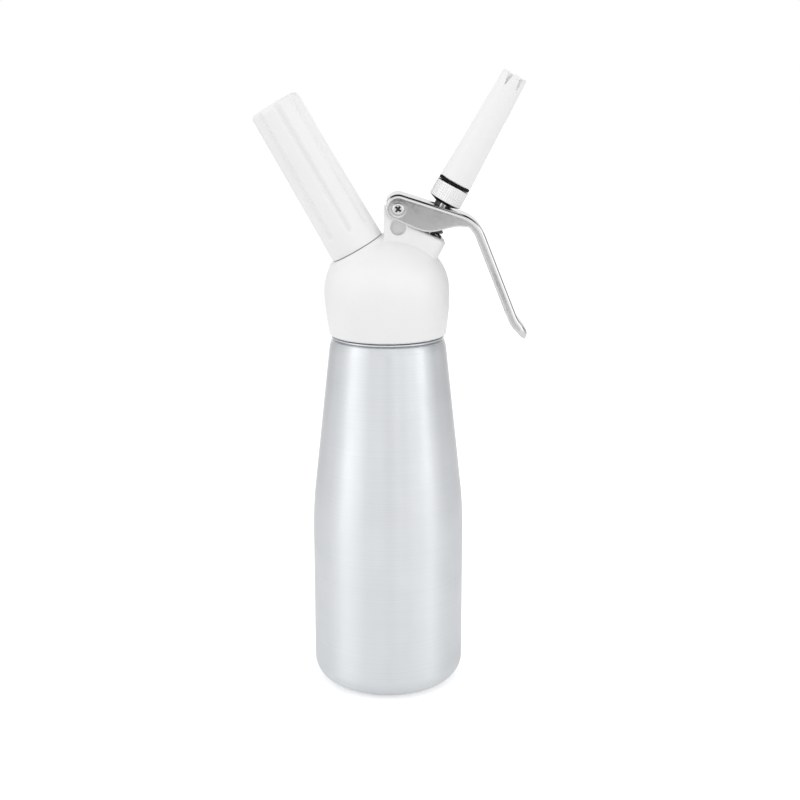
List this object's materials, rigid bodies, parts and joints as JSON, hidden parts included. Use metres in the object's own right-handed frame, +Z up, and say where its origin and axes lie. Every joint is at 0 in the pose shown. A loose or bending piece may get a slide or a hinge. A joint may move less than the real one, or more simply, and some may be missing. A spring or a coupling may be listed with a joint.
{
  "type": "whipped cream dispenser",
  "caption": "Gas-charged cream whipper: tapered metal bottle, white screw-on head, tilted charger holder, lever valve and toothed decorating tip.",
  "frame": {"origin": "centre of the bottle's flat base", "axes": "+Z up along the bottle's axis; +X towards the lever and the decorating tip, -X towards the charger holder; +Y across, along the lever's pivot"},
  "size_m": [0.1394, 0.08, 0.3234],
  "materials": {
    "white_plastic": "satin moulded white plastic",
    "satin_aluminium": "fine satin, softly anodised",
    "polished_steel": "polished stamped sheet",
    "bright_metal": "plated, fine square knurl on the grip ring",
    "dark_steel": "dark spring steel",
    "charger_steel": "plain lacquered steel",
    "brass": "turned",
    "black_rubber": "smooth black rubber",
    "grey_rubber": "smooth grey rubber"
  },
  "bodies": {
    "bottle": {"bottle": "satin_aluminium"},
    "head": {"head_shell": "white_plastic", "head_gasket": "grey_rubber", "charger_port": "brass", "port_nut": "brass", "port_seal": "grey_rubber", "piercing_pin": "dark_steel", "check_valve": "grey_rubber", "valve_bush": "brass", "stem_oring": "black_rubber", "valve_spring": "dark_steel"},
    "lever": {"lever": "polished_steel", "pivot_barrel": "polished_steel", "pivot_screw": "polished_steel"},
    "stem": {"valve_stem": "bright_metal", "piston_seal": "black_rubber", "spring_collar": "dark_steel"},
    "adapter": {"tip_adapter": "bright_metal", "tip_oring": "black_rubber"},
    "tip": {"decorating_tip": "white_plastic"},
    "holder": {"charger_holder": "white_plastic", "gas_charger": "charger_steel"}
  },
  "joints": [
    {"name": "head_lift", "type": "slide", "parent": "bottle", "child": "head", "axis": [0, 0, 1], "range_m": [0, 0.09]},
    {"name": "holder_unscrew", "type": "slide", "parent": "head", "child": "holder", "axis": [-0.5, 0, 0.866], "range_m": [0, 0.09]},
    {"name": "lever_squeeze", "type": "hinge", "parent": "head", "child": "lever", "pos_m": [0.0054, 0, 0.2552], "axis": [0, 1, 0], "range_deg": [0, 13], "stiffness_Nm_per_rad": 0.8, "springref_deg": -20.05},
    {"name": "valve_press", "type": "slide", "parent": "head", "child": "stem", "axis": [-0.4863, 0, -0.8738], "range_m": [0, 0.0036], "deforming": ["valve_spring"]},
    {"name": "adapter_unscrew", "type": "slide", "parent": "stem", "child": "adapter", "axis": [0.4863, 0, 0.8738], "range_m": [0, 0.025]},
    {"name": "tip_unscrew", "type": "slide", "parent": "adapter", "child": "tip", "axis": [0.4863, 0, 0.8738], "range_m": [0, 0.03]}
  ],
  "couplings": [
    {"joint": "valve_press", "follows": "lever_squeeze", "m_per_rad": 0.015}
  ]
}
